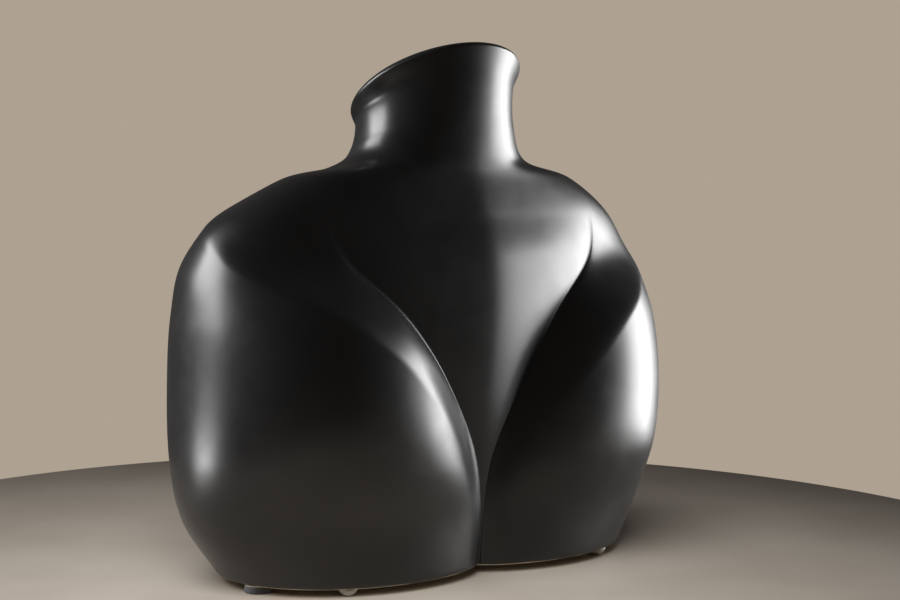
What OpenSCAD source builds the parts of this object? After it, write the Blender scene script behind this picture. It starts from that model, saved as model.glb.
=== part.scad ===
// Bust-shaped vase: a slip-cast clay body in satin black glaze, on stick-on feet.
// The front faces -Y, and the vase is the same on both sides of X = 0.

/* [Vase] */
// Width across the two lobes
vase_width = 239; // [200:1:260]
// Depth from the fronts of the lobes to the back
vase_depth = 115; // [100:1:130]
// Height of the glazed vase, from its base to the high front of the rim
vase_height = 216; // [190:1:245]
// Wall of the clay, without glaze
clay_wall = 4; // [3:0.5:5]
// Floor of the clay, without glaze
clay_floor = 5; // [4:0.5:8]

/* [Glaze] */
// Coat of glaze, inside and outside
glaze_coat = 0.5; // [0.3:0.1:0.8]
// Height of the bare clay band round the base
bare_band = 0.6; // [0.4:0.1:1.6]
// Rounding of the base edge
base_round = 2; // [1.8:0.1:4]
// Height of the rounding on top of the rim
lip_height = 1.8; // [1:0.2:3]

/* [Feet] */
// Diameter of a foam pad
pad_width = 11; // [8:0.5:13]
// Thickness of a foam pad
pad_height = 3; // [2:0.25:4]
// Diameter of a clear dome bumper
bumper_width = 8; // [6:0.5:10]
// Thickness of the adhesive film on pads and bumpers
film = 0.2; // [0.1:0.05:0.3]
// How far the pads stand in from the outline of the base
pad_inset = 0.5; // [0:0.25:4]
// How far the bumpers stand in from the outline of the base
bumper_inset = 2; // [1:0.25:6]

/* [Facets] */
// Rings of facets between two levels of the outside
rings_outside = 3; // [2:1:3]
// Rings of facets between two levels of the inside
rings_inside = 2; // [1:1:3]
// Facets across half of the chest, from its centre to a crease
chest_facets = 4; // [3:1:5]
// Facets from a crease round one lobe to the middle of the back
lobe_facets = 26; // [20:1:27]

/* [Hidden] */

// ---- The shape, level by level ----
// The vase is a loft through level sections. A section is a chest, narrow in front, with a lobe on
// each side. Each list has one value for each level, from the base to the rim, in mm or degrees.
level_height = [0, 22.5, 46, 75, 104, 126, 145, 160, 166, 176, 189, 196];
// Rise of the level for each mm towards the front
level_tilt   = [0, 0, 0, 0, 0, 0, .03, .07, .13, .28, .44, .58];
// Half width, front reach and back reach of the chest, which goes on up as the neck
chest_side   = [56, 65, 75, 84, 92, 97, 95, 74, 45.5, 37, 34.5, 38.5];
chest_front  = [33, 35, 36, 39, 41.5, 41, 34.5, 29, 28.5, 29, 31, 32];
chest_back   = [47, 50, 53, 54, 52, 47, 36, 27, 28, 30.5, 29, 27.5];
// Keel of the chest's front, from 0 for an ellipse to 1 for two straight flanks
chest_keel   = [0, .1, .28, .42, .5, .54, .6, .42, .12, 0, 0, 0];
// Centre of a lobe's ellipse, and its half width and half depth
lobe_x       = [39, 45, 53, 57.5, 57, 52.5, 42, 28, 14.5, 0, 0, 0];
lobe_y       = [1, 4, 3, 3.5, 5.5, 8.5, 5, 2.5, 1, 0, 0, 0];
lobe_side    = [60, 69, 66, 61, 58, 54.5, 47, 34, 31, 20, 20, 20];
lobe_depth   = [45, 49, 54, 56.5, 54, 45, 32, 26.5, 25, 20, 20, 20];
// Angle from the front centre to the crease where the lobe leaves the chest
crease_angle = [1.2, 1.2, 7, 27, 48.5, 66, 74, 80, 80, 80, 80, 80];
// Length over which the lobe rolls out of its crease, and how sharp that fold is, from 0 to 1
fold_roll    = [10, 11, 12, 13, 15, 36, 48, 50, 40, 40, 40, 40];
fold_edge    = [1, 1, 1, 1, .95, .3, 0, 0, 0, 0, 0, 0];
// Softness of the join of chest and lobe
join_blend   = [4, 4, 4, 4, 8, 14, 20, 18, 10, 4, 4, 4];
// Width, depth and height of the vase as the lists draw it
drawn_size = [238.9, 115.7, 216.1];
// Further softness of the join at the back
back_blend = 14;
// Rounding of the keel's tip
keel_tip = 0.015;
// Crowding of the facets towards the crease
crowding = 1.7;
// Smallest roll that a skin inside the wall keeps
least_roll = 3;
// Rounding where the inner wall meets the floor
floor_round = 3;
// Facets over the rounding of the rim
lip_facets = 4;
// Places of the feet, as angles from the front centre
side_pad_angle = 86;
back_pad_angle = 128;
bumper_angle = 64;

// Places of the values in a level's row
HEIGHT = 0;
TILT = 1;
SIDE = 2;
FRONT = 3;
BACK = 4;
KEEL = 5;
LOBE_X = 6;
LOBE_Y = 7;
LOBE_SIDE = 8;
LOBE_DEPTH = 9;
CREASE = 10;
ROLL = 11;
EDGE = 12;
BLEND = 13;
lists = [level_height, level_tilt, chest_side, chest_front, chest_back, chest_keel, lobe_x, lobe_y,
         lobe_side, lobe_depth, crease_angle, fold_roll, fold_edge, join_blend];
top = len(level_height) - 1;

// Each value of a row stretches with the width, the depth or the height
sx = vase_width / drawn_size[0];
sy = vase_depth / drawn_size[1];
sz = vase_height / drawn_size[2];
stretch = [sz, sz / sy, sx, sy, sy, 1, sx, sy, sx, sy, 1, 1, 1, 1];
rows = [for (i = [0:top]) [for (k = [0:len(lists) - 1]) lists[k][i] * stretch[k]]];

// ---- Skins: the outside of the vase, set in by a depth ----
function half_width(row) = max(row[SIDE], row[LOBE_X] + row[LOBE_SIDE]);
// How far the side of the vase leans in at a level, as an angle
function lean(i) = let (a = rows[max(i - 1, 0)], b = rows[min(i + 1, top)])
    atan2(half_width(a) - half_width(b), b[HEIGHT] - a[HEIGHT]);

// One level's row, set in by a depth along the wall's slope. The top level ends a coat lower,
// because the glaze goes over the rim.
function set_in(i, depth) = let (
        row = rows[i],
        side = depth * cos(lean(i)),
        down = depth * sin(lean(i)) + (i == top && depth > 0 ? glaze_coat : 0),
        spread = asin(min(depth / row[FRONT], 1)))
    [row[HEIGHT] - down, row[TILT], row[SIDE] - side, row[FRONT] - depth, row[BACK] - depth,
     row[KEEL], row[LOBE_X], row[LOBE_Y], row[LOBE_SIDE] - side, row[LOBE_DEPTH] - depth,
     row[CREASE] + spread, max(row[ROLL] - depth, least_roll), row[EDGE], row[BLEND]];
function skin(depth) = [for (i = [0:top]) set_in(i, depth)];

// The row at place t between the levels, on a smooth curve through them
function row_at(levels, t) = let (
        i = max(min(floor(t), top - 1), 0), u = t - i,
        here = levels[i], next = levels[i + 1],
        before = i > 0 ? levels[i - 1] : 2 * here - next,
        after = i < top - 1 ? levels[i + 2] : 2 * next - here,
        u2 = u * u, u3 = u2 * u)
    (2 * u3 - 3 * u2 + 1) * here + (u3 - 2 * u2 + u) * (next - before) / 2
    + (3 * u2 - 2 * u3) * next + (u3 - u2) * (after - here) / 2;

// The place t near the lowest level where a skin reaches a height, by halving
function place_at(levels, height, low = -0.5, high = 1, turns = 24) =
    turns == 0 ? (low + high) / 2
    : let (mid = (low + high) / 2)
        row_at(levels, mid)[HEIGHT] < height
            ? place_at(levels, height, mid, high, turns - 1)
            : place_at(levels, height, low, mid, turns - 1);

// ---- One section ----
function smooth_max(a, b, blend) = (a + b + sqrt(pow(a - b, 2) + blend * blend)) / 2;

// Reach of the chest at an angle from the front centre
function chest_reach(row, a) = let (
        keel = max(row[KEEL], 0),
        power = 2 - keel * max(cos(a), 0),
        reach = cos(a) > 0 ? row[FRONT] : row[BACK],
        across = sqrt(pow(sin(a), 2) + keel_tip * keel))
    pow(pow(across / row[SIDE], power) + pow(max(abs(cos(a)), 1e-9) / reach, power), -1 / power);

// Reach of the lobe's ellipse at an angle: the far crossing of the ray
function lobe_reach(row, a) = let (
        px = sin(a) / row[LOBE_SIDE], py = -cos(a) / row[LOBE_DEPTH],
        qx = row[LOBE_X] / row[LOBE_SIDE], qy = row[LOBE_Y] / row[LOBE_DEPTH],
        pp = px * px + py * py, pq = px * qx + py * qy, qq = qx * qx + qy * qy - 1)
    (pq + sqrt(max(pq * pq - pp * qq, 0))) / pp;

// Reach of the whole section: the chest up to the crease, then the lobe rolling out of it
function section_reach(row, a) = let (
        chest = chest_reach(row, a), lobe = lobe_reach(row, a),
        body = smooth_max(lobe, chest, row[BLEND] + back_blend * pow((1 - cos(a)) / 2, 2)),
        q = min(max(lobe * (a - row[CREASE]) * PI / 180 / row[ROLL], 0), 1),
        fold = sqrt(1 - pow(1 - q, 2)), ramp = q * q * (3 - 2 * q),
        edge = min(max(row[EDGE], 0), 1))
    chest + (body - chest) * (ramp + (fold - ramp) * edge);

// Angles of one half of a section, crowded where the lobe leaves the crease
function half_angles(crease) = concat(
    [for (i = [0:chest_facets - 1]) crease * i / chest_facets],
    [for (i = [0:lobe_facets]) crease + (180 - crease) * pow(i / lobe_facets, crowding)]);

// How much a rounded corner of radius r takes off at a height above its start
function corner(r, up) = up >= r ? 0 : r - sqrt(r * r - pow(r - max(up, 0), 2));

// The ring of points at place t of a skin. A corner of radius round, starting at height foot,
// draws its lowest part in.
function ring(levels, t, round, foot) = let (
        row = row_at(levels, t),
        cut = corner(round, row[HEIGHT] - foot),
        half = [for (a = half_angles(row[CREASE])) let (
                r = section_reach(row, a) - cut, y = -r * cos(a))
            [r * sin(a), y, row[HEIGHT] - row[TILT] * y]])
    concat(half, [for (i = [len(half) - 2:-1:1]) [-half[i][0], half[i][1], half[i][2]]]);

// ---- Rings of the three layers ----
outside = skin(0);
under_glaze = skin(glaze_coat);
inside = skin(glaze_coat + clay_wall);
liner = skin(2 * glaze_coat + clay_wall);

outside_places = concat(
    [for (h = [bare_band, (bare_band + base_round) / 2, base_round]) place_at(under_glaze, h)],
    [for (i = [1:top * rings_outside]) i / rings_outside]);
glaze_rings = [for (t = outside_places) ring(outside, t, base_round, 0)];
clay_rings = [for (t = outside_places) ring(under_glaze, t, base_round, 0)];
base_rings = [for (h = [0, bare_band / 2])
    ring(under_glaze, place_at(under_glaze, h), base_round, 0)];

function cavity_rings(levels, foot) = let (
        places = [for (k = [0, 0.3, 1]) place_at(levels, foot + floor_round * k)])
    [for (t = concat(places, [for (i = [1:top * rings_inside]) i / rings_inside]))
        if (t <= places[2] || t > places[2] + 0.1) ring(levels, t, floor_round, foot)];
wall_rings = cavity_rings(inside, clay_floor);
liner_rings = cavity_rings(liner, clay_floor + glaze_coat);

// Rings over a rounded rim, from one ring to another
function lip(from, to) = [for (k = [1:lip_facets - 1]) let (a = 180 * k / lip_facets)
    [for (j = [0:len(from) - 1])
        (from[j] * (1 + cos(a)) + to[j] * (1 - cos(a))) / 2 + [0, 0, lip_height * sin(a)]]];

function last(list) = list[len(list) - 1];
function reversed(list) = [for (i = [len(list) - 1:-1:0]) list[i]];
rim_inner = [for (p = last(liner_rings)) p + [0, 0, glaze_coat]];
clay_lip = lip(last(clay_rings), last(wall_rings));
glaze_lip = lip(last(glaze_rings), rim_inner);

// ---- From rings to solids ----
base_height = pad_height + film;
all_y = [for (r = glaze_rings) for (p = r) p[1]];
middle_y = (max(all_y) + min(all_y)) / 2;

// Two triangles for each facet between ring k and the next. The diagonals mirror across X = 0, and
// they run the same way whether the rings go up or down, so that two layers share the same facets.
function strip(rings, k, next) = let (m = len(rings[k]), rising = rings[k][0][2] < rings[next][0][2])
    [for (j = [0:m - 1]) let (
            a = k * m + j, b = k * m + (j + 1) % m,
            c = next * m + (j + 1) % m, d = next * m + j)
        each rising == (j >= m / 2) ? [[a, c, b], [a, d, c]] : [[a, d, b], [b, d, c]]];

// A solid bounded by rings in order: a closed loop of rings, or a bag with a flat cap at each end
module ring_solid(rings, loop = false) {
    n = len(rings);
    m = len(rings[0]);
    middles = [for (r = [rings[0], last(rings)]) [0, 0, r[0][2]]];
    sides = [for (k = [0:n - 2]) each strip(rings, k, k + 1)];
    ends = loop
        ? strip(rings, n - 1, 0)
        : [for (j = [0:m - 1]) let (k = (j + 1) % m, e = (n - 1) * m)
            each [[n * m, j, k], [n * m + 1, e + k, e + j]]];
    translate([0, -middle_y, base_height])
        polyhedron(concat([for (r = rings) each r], loop ? [] : middles), concat(sides, ends));
}

// ---- The vase ----
module clay_body()
    color([0.86, 0.78, 0.66])
        ring_solid(concat(base_rings, clay_rings, clay_lip, reversed(wall_rings)));

module outer_glaze()
    color([0.04, 0.04, 0.045])
        ring_solid(concat(glaze_rings, glaze_lip, [rim_inner, last(liner_rings), last(wall_rings)],
                          reversed(clay_lip), reversed(clay_rings)), loop = true);

module inner_glaze()
    color([0.05, 0.05, 0.055])
        ring_solid(concat(wall_rings, reversed(liner_rings)));

// ---- The feet ----
// Centre of a foot at an angle from the front, with its edge set in from the base's outline
function foot_place(angle, width, inset) = let (
        r = section_reach(under_glaze[0], abs(angle)) - inset - width / 2)
    [r * sin(angle), -r * cos(angle) - middle_y, 0];

module foam_pad(angle)
    color([0.16, 0.16, 0.17])
        translate(foot_place(angle, pad_width, pad_inset))
            cylinder(d = pad_width, h = pad_height, $fn = 48);

// A dome of clear rubber, round side down
module dome_bumper(angle) {
    radius = (pow(bumper_width / 2, 2) + pow(pad_height, 2)) / (2 * pad_height);
    color([0.85, 0.82, 0.74])
        translate(foot_place(angle, bumper_width, bumper_inset))
            intersection() {
                translate([0, 0, radius])
                    sphere(r = radius, $fn = 48);
                cylinder(d = 2 * bumper_width, h = pad_height, $fn = 48);
            }
}

// Discs of adhesive film between the feet and the clay, a little smaller than the feet
module films(angles, width, inset)
    color([0.8, 0.79, 0.75])
        for (angle = angles)
            translate(foot_place(angle, width, inset) + [0, 0, pad_height])
                cylinder(d = width - 2 * film, h = film, $fn = 48);

clay_body();
outer_glaze();
inner_glaze();
foam_pad(-side_pad_angle);  // foam_pad_left
foam_pad(side_pad_angle);  // foam_pad_right
foam_pad(-back_pad_angle);  // foam_pad_back_left
foam_pad(back_pad_angle);  // foam_pad_back_right
dome_bumper(-bumper_angle);  // dome_bumper_left
dome_bumper(bumper_angle);  // dome_bumper_right
films([-back_pad_angle, -side_pad_angle, side_pad_angle, back_pad_angle], pad_width, pad_inset);  // pad_adhesive
films([-bumper_angle, bumper_angle], bumper_width, bumper_inset);  // bumper_adhesive
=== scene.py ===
# A bust-shaped vase in satin black glaze over pale clay, on stick-on feet.
import math
import bpy
import numpy as np
from mathutils import Matrix, Vector


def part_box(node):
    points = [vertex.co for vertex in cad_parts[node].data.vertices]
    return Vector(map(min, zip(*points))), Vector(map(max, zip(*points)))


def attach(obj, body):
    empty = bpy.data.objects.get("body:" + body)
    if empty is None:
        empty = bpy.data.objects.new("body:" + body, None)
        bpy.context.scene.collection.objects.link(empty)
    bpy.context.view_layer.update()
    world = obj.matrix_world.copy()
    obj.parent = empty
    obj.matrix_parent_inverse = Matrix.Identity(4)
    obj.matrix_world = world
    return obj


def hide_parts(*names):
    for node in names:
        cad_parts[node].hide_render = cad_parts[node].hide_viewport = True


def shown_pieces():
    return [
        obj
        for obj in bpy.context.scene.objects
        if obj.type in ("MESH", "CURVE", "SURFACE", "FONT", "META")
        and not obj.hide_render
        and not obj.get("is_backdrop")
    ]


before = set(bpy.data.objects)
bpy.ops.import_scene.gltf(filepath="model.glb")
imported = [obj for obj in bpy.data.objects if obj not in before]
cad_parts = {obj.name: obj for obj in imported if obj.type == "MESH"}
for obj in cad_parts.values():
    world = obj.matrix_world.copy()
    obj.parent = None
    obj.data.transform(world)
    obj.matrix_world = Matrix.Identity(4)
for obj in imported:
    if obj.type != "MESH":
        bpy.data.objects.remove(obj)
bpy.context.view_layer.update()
MM = 0.001

# ---- The vase's shape, level by level, in mm and degrees, as the CAD part is drawn ----
LEVELS = dict(
    height=[0, 22.5, 46, 75, 104, 126, 145, 160, 166, 176, 189, 196],
    tilt=[0, 0, 0, 0, 0, 0, .03, .07, .13, .28, .44, .58],
    chest_side=[56, 65, 75, 84, 92, 97, 95, 74, 45.5, 37, 34.5, 38.5],
    chest_front=[33, 35, 36, 39, 41.5, 41, 34.5, 29, 28.5, 29, 31, 32],
    chest_back=[47, 50, 53, 54, 52, 47, 36, 27, 28, 30.5, 29, 27.5],
    keel=[0, .1, .28, .42, .5, .54, .6, .42, .12, 0, 0, 0],
    lobe_x=[39, 45, 53, 57.5, 57, 52.5, 42, 28, 14.5, 0, 0, 0],
    lobe_y=[1, 4, 3, 3.5, 5.5, 8.5, 5, 2.5, 1, 0, 0, 0],
    lobe_side=[60, 69, 66, 61, 58, 54.5, 47, 34, 31, 20, 20, 20],
    lobe_depth=[45, 49, 54, 56.5, 54, 45, 32, 26.5, 25, 20, 20, 20],
    crease=[1.2, 1.2, 7, 27, 48.5, 66, 74, 80, 80, 80, 80, 80],
    roll=[10, 11, 12, 13, 15, 36, 48, 50, 40, 40, 40, 40],
    edge=[1, 1, 1, 1, .95, .3, 0, 0, 0, 0, 0, 0],
    blend=[4, 4, 4, 4, 8, 14, 20, 18, 10, 4, 4, 4],
)
TOP = len(LEVELS["height"]) - 1
# Extra softness of the joins towards the back, rounding of the keel's tip, and least roll of a set-in skin
BACK_BLEND, KEEL_TIP, LEAST_ROLL = 14.0, 0.015, 3
# How much the points crowd towards the crease
CROWDING = 1.7
# Keeps a power from being taken of nought
TINY = 1e-9
CLAY_WALL, CLAY_FLOOR, GLAZE = 4.0, 5.0, 0.5
BARE_BAND, BASE_ROUND, FLOOR_ROUND, LIP_HEIGHT = 0.6, 2.0, 3.0, 1.8
PLACES_TRIED = 601


def skin(depth):
    """The levels, set in by a depth from the outside of the glaze."""
    s = {k: np.array(v, float) for k, v in LEVELS.items()}
    wide = np.maximum(s["chest_side"], s["lobe_x"] + s["lobe_side"])
    below = np.r_[wide[0], wide[:-1]]
    above = np.r_[wide[1:], wide[-1]]
    z_below = np.r_[s["height"][0], s["height"][:-1]]
    z_above = np.r_[s["height"][1:], s["height"][-1]]
    lean = np.arctan2(below - above, z_above - z_below)
    spread = np.degrees(np.arcsin(np.minimum(depth / s["chest_front"], 1)))
    s["height"] -= depth * np.sin(lean)
    if depth > 0:
        s["height"][-1] -= GLAZE
    for name in ("chest_side", "lobe_side"):
        s[name] -= depth * np.cos(lean)
    for name in ("chest_front", "chest_back", "lobe_depth"):
        s[name] -= depth
    s["crease"] += spread
    s["roll"] = np.maximum(s["roll"] - depth, LEAST_ROLL)
    return s


def at(levels, name, t):
    """One value of the levels at place t, on a smooth curve through them."""
    p = levels[name]
    p = np.r_[2 * p[0] - p[1], p, 2 * p[-1] - p[-2]]
    i = np.clip(np.floor(t).astype(int), 0, TOP - 1)
    u = t - i
    a, b, c, d = p[i], p[i + 1], p[i + 2], p[i + 3]
    u2, u3 = u * u, u * u * u
    between = (2 * u3 - 3 * u2 + 1) * b + (3 * u2 - 2 * u3) * c
    return between + (u3 - 2 * u2 + u) * (c - a) / 2 + (u3 - u2) * (d - b) / 2


def reach(levels, t, a):
    """Reach of the section at place t, at the angle a from the front centre."""
    v = {name: at(levels, name, t) for name in levels}
    s, c = np.sin(a), np.cos(a)
    keel = np.maximum(v["keel"], 0)
    power = 2 - keel * np.maximum(c, 0)
    ahead = np.where(c > 0, v["chest_front"], v["chest_back"])
    across = np.sqrt(s * s + KEEL_TIP * keel)
    along = np.maximum(abs(c), TINY) / ahead
    chest = ((across / v["chest_side"]) ** power + along ** power) ** (-1 / power)
    px, py = s / v["lobe_side"], -c / v["lobe_depth"]
    qx, qy = v["lobe_x"] / v["lobe_side"], v["lobe_y"] / v["lobe_depth"]
    pp, pq, qq = px * px + py * py, px * qx + py * qy, qx * qx + qy * qy - 1
    lobe = (pq + np.sqrt(np.maximum(pq * pq - pp * qq, 0))) / pp
    soft = v["blend"] + BACK_BLEND * ((1 - c) / 2) ** 2
    body = (lobe + chest + np.sqrt((lobe - chest) ** 2 + soft * soft)) / 2
    q = np.clip(lobe * (a - np.radians(v["crease"])) / v["roll"], 0, 1)
    fold, ramp = np.sqrt(1 - (1 - q) ** 2), q * q * (3 - 2 * q)
    return chest + (body - chest) * (ramp + (fold - ramp) * np.clip(v["edge"], 0, 1))


def corner(radius, up):
    """How much a rounded corner takes off at a height above its start."""
    up = np.clip(up, 0, radius)
    return radius - np.sqrt(radius ** 2 - (radius - up) ** 2)


def place(levels, z):
    """The place t near the base where a skin reaches the height z."""
    t = np.linspace(-0.5, 1, PLACES_TRIED)
    return np.interp(z, at(levels, "height", t), t)


def half_angles(levels, t, chest_n, lobe_n):
    """Angles of one half of each section, crowded towards the crease."""
    crease = np.radians(at(levels, "crease", t))[:, None]
    front = crease * np.linspace(0, 1, chest_n, endpoint=False)
    lobe = crease + (math.pi - crease) * np.linspace(0, 1, lobe_n + 1) ** CROWDING
    return np.concatenate([front, lobe], 1)


def rings(levels, t, chest_n, lobe_n, round_mm, foot):
    """Rings of points of a skin.

    Each value of t is a place, or a row of places, one for each point of a half.
    """
    t = np.asarray(t, float)
    t2 = t if t.ndim == 2 else np.repeat(t[:, None], chest_n + lobe_n + 1, 1)
    a = half_angles(levels, t2[:, 0], chest_n, lobe_n)
    z0 = at(levels, "height", t2)
    r = reach(levels, t2, a) - corner(round_mm, z0 - foot)
    x, y = r * np.sin(a), -r * np.cos(a)
    z = z0 - at(levels, "tilt", t2) * y
    half = np.stack([x, y, z], -1)
    other = half[:, -2:0:-1] * np.array([-1, 1, 1])
    return np.concatenate([half, other], 1)


def lip(first, last, n):
    """Rings over a rounded rim, from one ring to another."""
    out = []
    for k in range(1, n):
        a = math.pi * k / n
        between = (first * (1 + math.cos(a)) + last * (1 - math.cos(a))) / 2
        out.append(between + np.array([0, 0, LIP_HEIGHT * math.sin(a)]))
    return out


# The drawing is placed on the CAD glaze's own box
outside, under_glaze = skin(0.0), skin(GLAZE)
inside, liner = skin(GLAZE + CLAY_WALL), skin(2 * GLAZE + CLAY_WALL)
CHEST_N, LOBE_N, LIP_N, CLAY_LIP_N = 40, 130, 16, 12
ROWS_PER_LEVEL = 14
levels_t = np.linspace(0, TOP, TOP * ROWS_PER_LEVEL + 1)
plain = rings(outside, levels_t, CHEST_N, LOBE_N, BASE_ROUND, 0)
rim = [rings(s, levels_t[-1:], CHEST_N, LOBE_N, 0, 0)[0] for s in (outside, liner)]
plain = np.concatenate([plain, lip(rim[0], rim[1] + np.array([0, 0, GLAZE]), LIP_N)])
drawn_low, drawn_high = plain.reshape(-1, 3).min(0), plain.reshape(-1, 3).max(0)
glaze_low, glaze_high = (np.array(p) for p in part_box("outer_glaze"))
BASE_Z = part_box("clay_body")[0][2]
scale = (glaze_high - glaze_low) / (drawn_high - drawn_low)
scale[2] = (glaze_high[2] - BASE_Z) / drawn_high[2]
middle = (glaze_high + glaze_low) / 2 - (drawn_high + drawn_low) / 2 * scale


def placed(points):
    """Points of the drawing, in metres in the row frame."""
    p = np.asarray(points, float).reshape(-1, 3) * scale
    p[:, 0] += middle[0]
    p[:, 1] += middle[1]
    p[:, 2] += BASE_Z
    return p


def mesh_object(name, points, faces, material, slot, *nodes):
    mesh = bpy.data.meshes.new(name)
    mesh.from_pydata([tuple(p) for p in points], [], faces)
    mesh.update()
    mesh.polygons.foreach_set("use_smooth", [True] * len(mesh.polygons))
    obj = bpy.data.objects.new(name, mesh)
    bpy.context.collection.objects.link(obj)
    mesh.materials.append(material)
    if slot:
        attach(obj, "root")
    if nodes:
        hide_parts(*nodes)
    return obj


def ring_faces(n, m, loop):
    """Quads between n rings of m points, wound outwards for rings that go up the outside."""
    faces = []
    for k in range(n if loop else n - 1):
        a, b = k * m, ((k + 1) % n) * m
        faces += [(a + j, b + j, b + (j + 1) % m, a + (j + 1) % m) for j in range(m)]
    return [tuple(reversed(f)) for f in faces]


def ring_object(name, stack, material, slot, *nodes, loop=False):
    """A closed solid from a stack of rings: a loop of them, or with a flat cap at each end."""
    n, m = len(stack), len(stack[0])
    faces = ring_faces(n, m, loop)
    if not loop:
        faces.append(tuple(range(m - 1, -1, -1)))
        faces.append(tuple(range((n - 1) * m, n * m)))
    return mesh_object(name, placed(np.array(stack)), faces, material, slot, *nodes)


# ---- Materials ----
class Material:
    """A Principled material that varies with noise, whose grain sizes and depths are in mm."""

    def __init__(self, name, colour, roughness):
        self.mat = bpy.data.materials.new(name)
        self.mat.use_nodes = True
        self.nodes = self.mat.node_tree.nodes
        self.links = self.mat.node_tree.links
        self.inputs = self.nodes["Principled BSDF"].inputs
        self.inputs["Base Color"].default_value = (*colour, 1)
        self.inputs["Roughness"].default_value = roughness
        self.coords = self.nodes.new("ShaderNodeTexCoord")

    def noise(self, size_mm, detail):
        n = self.nodes.new("ShaderNodeTexNoise")
        n.inputs["Scale"].default_value = 1 / MM / size_mm
        n.inputs["Detail"].default_value = detail
        self.links.new(self.coords.outputs["Object"], n.inputs["Vector"])
        return n.outputs["Fac"]

    def cells(self, size_mm):
        n = self.nodes.new("ShaderNodeTexVoronoi")
        n.inputs["Scale"].default_value = 1 / MM / size_mm
        self.links.new(self.coords.outputs["Object"], n.inputs["Vector"])
        return n.outputs["Distance"]

    def spread(self, value, low, high):
        """Stretches the middle of the noise's range over another range."""
        n = self.nodes.new("ShaderNodeMapRange")
        n.inputs["From Min"].default_value = 0.3
        n.inputs["From Max"].default_value = 0.7
        n.inputs["To Min"].default_value = low
        n.inputs["To Max"].default_value = high
        self.links.new(value, n.inputs["Value"])
        return n.outputs["Result"]

    def bump(self, value, depth_mm, before=None):
        n = self.nodes.new("ShaderNodeBump")
        n.inputs["Strength"].default_value = 1.0
        n.inputs["Distance"].default_value = depth_mm * MM
        self.links.new(value, n.inputs["Height"])
        if before is not None:
            self.links.new(before, n.inputs["Normal"])
        return n.outputs["Normal"]

    def blend_colour(self, share, first, second):
        n = self.nodes.new("ShaderNodeMix")
        n.data_type = "RGBA"
        n.inputs["A"].default_value = (*first, 1)
        n.inputs["B"].default_value = (*second, 1)
        self.links.new(share, n.inputs["Factor"])
        self.links.new(n.outputs["Result"], self.inputs["Base Color"])

    def vary_colour(self, value, first, second):
        self.blend_colour(self.spread(value, 0, 1), first, second)

    def vary_roughness(self, value, low, high):
        self.links.new(self.spread(value, low, high), self.inputs["Roughness"])

    def surface(self, normal):
        self.links.new(normal, self.inputs["Normal"])


def glaze_material(name, roughness):
    """Satin black glaze: faintly uneven, with the very fine grain of a matting glaze."""
    m = Material(name, (0.012, 0.012, 0.013), roughness)
    m.vary_colour(m.noise(22, 3), (0.0095, 0.0095, 0.0105), (0.0145, 0.0142, 0.0145))
    m.vary_roughness(m.noise(9, 4), roughness - 0.02, roughness + 0.025)
    waves = m.bump(m.noise(16, 1), 0.035)
    m.surface(m.bump(m.noise(0.5, 2), 0.004, waves))
    return m.mat


def clay_material():
    """Bare pale clay at the foot: cream, a little darker and warmer in places, finely gritty."""
    m = Material("bare_clay", (0.78, 0.66, 0.48), 0.85)
    m.vary_colour(m.noise(6, 4), (0.62, 0.49, 0.33), (0.86, 0.77, 0.62))
    m.vary_roughness(m.noise(3, 3), 0.75, 0.95)
    waves = m.bump(m.noise(2.5, 3), 0.08)
    m.surface(m.bump(m.noise(0.45, 3), 0.06, waves))
    return m.mat


def foam_material():
    """Grey closed-cell foam, with fine pores."""
    m = Material("grey_foam", (0.06, 0.06, 0.063), 0.9)
    pores = m.cells(0.35)
    m.blend_colour(pores, (0.045, 0.045, 0.048), (0.09, 0.09, 0.094))
    m.vary_roughness(m.noise(1.5, 2), 0.82, 0.97)
    m.surface(m.bump(pores, 0.08))
    return m.mat


def bumper_material():
    """Clear soft plastic, milky with age."""
    m = Material("clear_bumper", (0.85, 0.8, 0.68), 0.2)
    m.inputs["Transmission Weight"].default_value = 0.55
    m.inputs["IOR"].default_value = 1.45
    m.vary_colour(m.noise(3, 2), (0.80, 0.74, 0.60), (0.90, 0.86, 0.76))
    m.vary_roughness(m.noise(2, 3), 0.15, 0.3)
    m.surface(m.bump(m.noise(1.2, 2), 0.02))
    return m.mat


def film_material():
    """Thin adhesive film, slightly yellow."""
    m = Material("adhesive_film", (0.7, 0.66, 0.56), 0.45)
    m.vary_colour(m.noise(2, 3), (0.62, 0.57, 0.45), (0.76, 0.73, 0.64))
    m.vary_roughness(m.noise(1, 2), 0.35, 0.6)
    m.surface(m.bump(m.noise(0.6, 2), 0.02))
    return m.mat


def floor_material():
    """A plain pale floor, softly clouded."""
    m = Material("pale_floor", (0.6, 0.57, 0.53), 0.55)
    m.vary_colour(m.noise(120, 4), (0.33, 0.285, 0.235), (0.42, 0.375, 0.32))
    return m.mat


def backdrop_material():
    """A plain wall that shows one even colour."""
    m = bpy.data.materials.new("pale_backdrop")
    m.use_nodes = True
    inputs = m.node_tree.nodes["Principled BSDF"].inputs
    inputs["Base Color"].default_value = (0, 0, 0, 1)
    inputs["Emission Color"].default_value = (0.42, 0.355, 0.285, 1)
    inputs["Emission Strength"].default_value = 1.0
    return m


black_glaze = glaze_material("satin_black_glaze", 0.31)
inner_black = glaze_material("inner_black_glaze", 0.26)
bare_clay = clay_material()

# ---- The glaze outside: from its uneven lower edge up, and over the rim to its inner edge ----
# Height in mm where the rows that follow the uneven edge end, and how far the rounded edge hangs
EDGE_ROWS_END, EDGE_BEAD = 3.5, 0.12
EDGE_ROWS = (0, .04, .1, .2, .35, .55, .8, 1)
# Least distance between a first row and the level rows above it, as a share of a level
ROW_GAP = 0.03
FLOOR_ROWS = 6
CLAY_FOOT_ROWS = np.array([0, .06, .2, .4, .7, 1.1, 1.6, 2.2, EDGE_ROWS_END])


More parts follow.
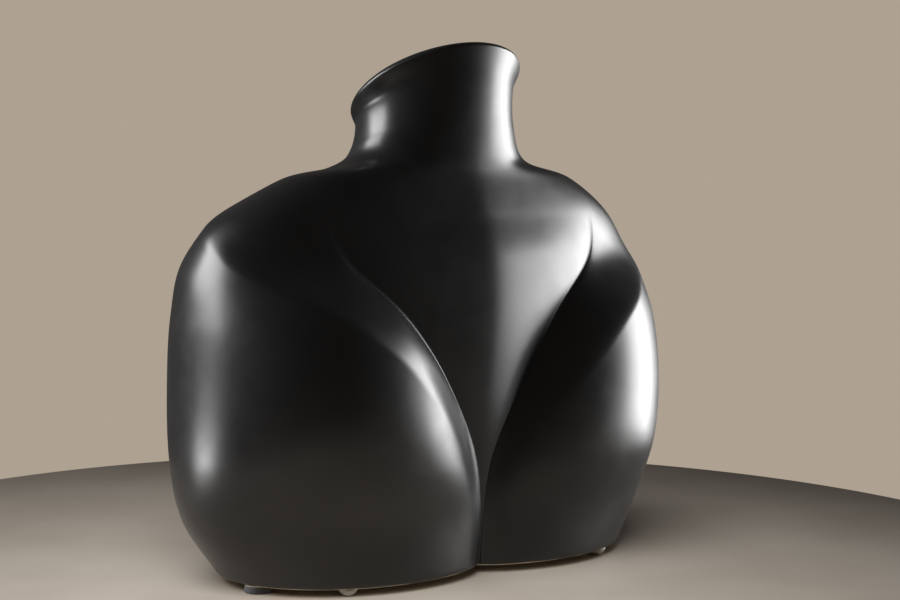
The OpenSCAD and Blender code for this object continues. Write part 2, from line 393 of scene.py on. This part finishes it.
def glaze_edge(a):
    """Height of the glaze's lower edge at an angle from the front: it wanders a little."""
    return BARE_BAND + 0.10 * np.sin(5 * a + 0.6) + 0.07 * np.sin(13 * a + 2) + 0.04 * np.sin(31 * a)


def edge_rings(levels, edge_z):
    """Rings from the uneven edge up to where all rows are level."""
    rows = np.array([place(levels, edge_z + (EDGE_ROWS_END - edge_z) * s) for s in EDGE_ROWS])
    return rings(levels, rows, CHEST_N, LOBE_N, BASE_ROUND, 0)


def floor_places(levels, floor_z):
    """Places of the rows over the rounding between the floor and the wall."""
    return np.linspace(place(levels, floor_z), place(levels, floor_z + FLOOR_ROUND), FLOOR_ROWS)


edge_z = glaze_edge(half_angles(outside, np.zeros(1), CHEST_N, LOBE_N)[0])
up_t = levels_t[levels_t > float(place(outside, EDGE_ROWS_END)) + ROW_GAP]
glaze_low_rings = edge_rings(outside, edge_z)
glaze_up = rings(outside, up_t, CHEST_N, LOBE_N, BASE_ROUND, 0)
under_low = edge_rings(under_glaze, edge_z)
under_up = rings(under_glaze, up_t, CHEST_N, LOBE_N, BASE_ROUND, 0)
cavity_t = floor_places(inside, CLAY_FLOOR)
cavity_t = np.r_[cavity_t, levels_t[levels_t > cavity_t[-1] + ROW_GAP][::2]]
if cavity_t[-1] < TOP:
    cavity_t = np.r_[cavity_t, TOP]
wall = rings(inside, cavity_t, CHEST_N, LOBE_N, FLOOR_ROUND, CLAY_FLOOR)
liner_t = np.r_[floor_places(liner, CLAY_FLOOR + GLAZE), cavity_t[FLOOR_ROWS:]]
lined = rings(liner, liner_t, CHEST_N, LOBE_N, FLOOR_ROUND, CLAY_FLOOR + GLAZE)
rim_inner = lined[-1] + np.array([0, 0, GLAZE])
clay_lip = lip(under_up[-1], wall[-1], CLAY_LIP_N)
# the glaze's lower edge is rounded, like the edge of a thick coat of paint
edge_bead = (glaze_low_rings[0] + under_low[0]) / 2 - np.array([0, 0, EDGE_BEAD])
glaze_lip = lip(glaze_up[-1], rim_inner, LIP_N)
glaze_stack = [*glaze_low_rings, *glaze_up, *glaze_lip, rim_inner, lined[-1], wall[-1],
               *reversed(clay_lip), *under_up[::-1], *under_low[::-1], edge_bead]
ring_object("glaze_outside", glaze_stack, black_glaze, "satin_black_glaze", "outer_glaze", loop=True)

# ---- The glaze inside ----
ring_object("glaze_inside", [*wall, *lined[::-1]], inner_black, "inner_black_glaze", "inner_glaze")

# ---- The clay ----
clay_low_rings = rings(under_glaze, place(under_glaze, CLAY_FOOT_ROWS), CHEST_N, LOBE_N, BASE_ROUND, 0)
ring_object("clay_vase", [*clay_low_rings, *under_up, *clay_lip, *wall[::-1]], bare_clay, "clay", "clay_body")

# ---- The feet, in mm ----
# Rounding of a pad's cut edges, and how far its side bulges
PAD_ROUND, PAD_BULGE = 0.35, 0.15
BUMPER_EDGE = 0.1
AROUND_FOOT, ARC_ROWS, DOME_ROWS = 72, 7, 18


def foot_size(node):
    """Radius and height of a CAD foot, in mm."""
    low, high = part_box(node)
    return (high[0] - low[0]) / 2 / MM, (high[2] - low[2]) / MM


def lathe(name, node, profile, material, slot):
    """A turned piece on the upright axis of its CAD node, from a profile of (radius, height) in mm."""
    low, high = (Vector(p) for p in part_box(node))
    cx, cy = (low.x + high.x) / 2, (low.y + high.y) / 2
    turns = [2 * math.pi * j / AROUND_FOOT for j in range(AROUND_FOOT)]
    points = [(cx + r * MM * math.cos(a), cy + r * MM * math.sin(a), low.z + z * MM)
              for r, z in profile for a in turns]
    faces = []
    for k in range(len(profile) - 1):
        a, b = k * AROUND_FOOT, (k + 1) * AROUND_FOOT
        for j in range(AROUND_FOOT):
            after = (j + 1) % AROUND_FOOT
            faces.append((a + j, a + after, b + after, b + j))
    faces.append(tuple(range(AROUND_FOOT - 1, -1, -1)))
    faces.append(tuple(range(len(points) - AROUND_FOOT, len(points))))
    return mesh_object(name, points, faces, material, slot, node)


def pad_profile(radius, height):
    """A foam disc, pressed a little, so that its side bulges and its cut edges are round."""
    edge = radius - PAD_BULGE
    arc = np.linspace(0, math.pi / 2, ARC_ROWS)
    foot = [(edge - PAD_ROUND + PAD_ROUND * math.sin(a), PAD_ROUND - PAD_ROUND * math.cos(a)) for a in arc]
    side = [(edge + PAD_BULGE * math.sin(math.pi * u), PAD_ROUND + (height - 2 * PAD_ROUND) * u)
            for u in np.linspace(0.1, 0.9, ARC_ROWS)]
    top = [(edge - PAD_ROUND + PAD_ROUND * math.cos(a), height - PAD_ROUND + PAD_ROUND * math.sin(a))
           for a in arc]
    return foot + side + top


def bumper_profile(radius, height):
    """A dome, round side down."""
    ball = (radius ** 2 + height ** 2) / (2 * height)
    end = math.asin(min(radius / ball, 1))
    dome = [(ball * math.sin(a), ball - ball * math.cos(a)) for a in np.linspace(0.02, end, DOME_ROWS)]
    return dome + [(radius - BUMPER_EDGE, height)]


grey_foam = foam_material()
for side in ("left", "right", "back_left", "back_right"):
    node = "foam_pad_" + side
    lathe("pad_" + side, node, pad_profile(*foot_size(node)), grey_foam, "grey_foam")

clear_bumper = bumper_material()
for side in ("left", "right"):
    node = "dome_bumper_" + side
    lathe("bumper_" + side, node, bumper_profile(*foot_size(node)), clear_bumper, "clear_bumper")

adhesive_film = film_material()
for node in ("pad_adhesive", "bumper_adhesive"):
    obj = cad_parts[node]
    for s in obj.material_slots:
        s.material = adhesive_film
    if not obj.material_slots:
        obj.data.materials.append(adhesive_film)

# ---- Camera, in mm and degrees ----
CAMERA_AZIMUTH, CAMERA_DISTANCE, CAMERA_HEIGHT = -39.106, 827.245, 172.779
# How far it looks to the right of the vase's middle and below the horizontal, and how far it rolls
CAMERA_YAW, CAMERA_DIP, CAMERA_ROLL = 0.53110, 4.43164, 0.76433
CAMERA_LENS, SENSOR_WIDTH, CLIP_END = 78.35424, 36, 50


def place_camera():
    azimuth, dip, roll = (math.radians(v) for v in (CAMERA_AZIMUTH, CAMERA_DIP, CAMERA_ROLL))
    heading = azimuth - math.radians(CAMERA_YAW)
    look = Vector((-math.sin(heading) * math.cos(dip), math.cos(heading) * math.cos(dip), -math.sin(dip)))
    right = Vector((math.cos(heading), math.sin(heading), 0))
    up = right.cross(look)
    rolled_right = right * math.cos(roll) + up * math.sin(roll)
    rolled_up = up * math.cos(roll) - right * math.sin(roll)
    turn = Matrix((rolled_right, rolled_up, -look)).transposed()
    away = CAMERA_DISTANCE * MM
    position = (math.sin(azimuth) * away, -math.cos(azimuth) * away + middle[1], CAMERA_HEIGHT * MM + BASE_Z)
    data = bpy.data.cameras.new("camera")
    data.sensor_width = SENSOR_WIDTH
    data.lens = CAMERA_LENS
    data.clip_end = CLIP_END
    camera = bpy.data.objects.new("camera", data)
    bpy.context.collection.objects.link(camera)
    camera.matrix_world = Matrix.Translation(position) @ turn.to_4x4()
    bpy.context.scene.camera = camera


place_camera()
bpy.context.scene.view_settings.view_transform = "Standard"

# ---- Floor and backdrop, in metres ----
FLOOR_R, FLOOR_THICK, WALL_R = 0.29, 0.02, 6.0
AROUND, WALL_ROWS = 160, 24
circle = [(math.cos(2 * math.pi * j / AROUND), math.sin(2 * math.pi * j / AROUND)) for j in range(AROUND)]


def stage_object(name, points, faces, material):
    obj = mesh_object(name, points, faces, material, None)
    obj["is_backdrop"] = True
    return obj


def circle_at(radius, z):
    return [(radius * x, radius * y, z) for x, y in circle]


def floor_mesh():
    """A round floor, whose far edge is seen behind the vase."""
    points = [(0, 0, 0)] + circle_at(FLOOR_R, 0) + circle_at(FLOOR_R, -FLOOR_THICK)
    faces = []
    for j in range(AROUND):
        k = (j + 1) % AROUND
        faces.append((0, 1 + j, 1 + k))
        faces.append((1 + j, 1 + AROUND + j, 1 + AROUND + k, 1 + k))
    return points, faces


def backdrop_mesh():
    """A ball a long way round the vase."""
    points, faces = [], []
    for i in range(WALL_ROWS + 1):
        el = math.pi * (i / WALL_ROWS - 0.5)
        points += circle_at(WALL_R * math.cos(el), WALL_R * math.sin(el))
    for i in range(WALL_ROWS):
        a, b = i * AROUND, (i + 1) * AROUND
        for j in range(AROUND):
            k = (j + 1) % AROUND
            faces.append((a + j, b + j, b + k, a + k))
    return points, faces


floor = stage_object("floor", *floor_mesh(), floor_material())
backdrop = stage_object("backdrop", *backdrop_mesh(), backdrop_material())
# the wall is only a background: it doesn't show in the glaze, and it doesn't light the vase
backdrop.visible_glossy = False
backdrop.visible_diffuse = False
backdrop.visible_shadow = False

# ---- Lights ----
world = bpy.data.worlds.new("studio")
bpy.context.scene.world = world
world.use_nodes = True
world.node_tree.nodes["Background"].inputs["Color"].default_value = (0.55, 0.5, 0.46, 1)
world.node_tree.nodes["Background"].inputs["Strength"].default_value = 0.12
LIGHT_AIM, LIGHT_DISTANCE = Vector((0, 0, 0.11)), 1.3


def softbox(name, azimuth, elevation, wide, high, watts):
    """A rectangular soft light. Azimuth 0 is in front of the vase, and 90 to its right as it is looked at."""
    az, el = math.radians(azimuth), math.radians(elevation)
    away = Vector((math.sin(az) * math.cos(el), -math.cos(az) * math.cos(el), math.sin(el)))
    data = bpy.data.lights.new(name, "AREA")
    data.shape = "RECTANGLE"
    data.size, data.size_y, data.energy = wide, high, watts
    obj = bpy.data.objects.new(name, data)
    bpy.context.collection.objects.link(obj)
    obj.location = LIGHT_AIM + away * LIGHT_DISTANCE
    obj.rotation_euler = (-away).to_track_quat("-Z", "Y").to_euler()
    return obj


right_core = softbox("right_core", 77, 0, 0.75, 0.8, 21)
right_wide = softbox("right_wide", 76, 0, 1.5, 0.9, 9)
left_high = softbox("left_high", -124, 22, 0.85, 0.6, 22)
left_low = softbox("left_low", -117, -13, 0.45, 0.22, 6)
floor_light = softbox("floor_light", -60, 48, 1.2, 1.2, 30)

# the last light is for the floor alone, and the others are for the vase alone
vase_pieces = bpy.data.collections.new("vase_pieces")
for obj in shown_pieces():
    vase_pieces.objects.link(obj)
floor_only = bpy.data.collections.new("floor_only")
floor_only.objects.link(floor)
for light in (right_core, right_wide, left_high, left_low):
    light.light_linking.receiver_collection = vase_pieces
floor_light.light_linking.receiver_collection = floor_only
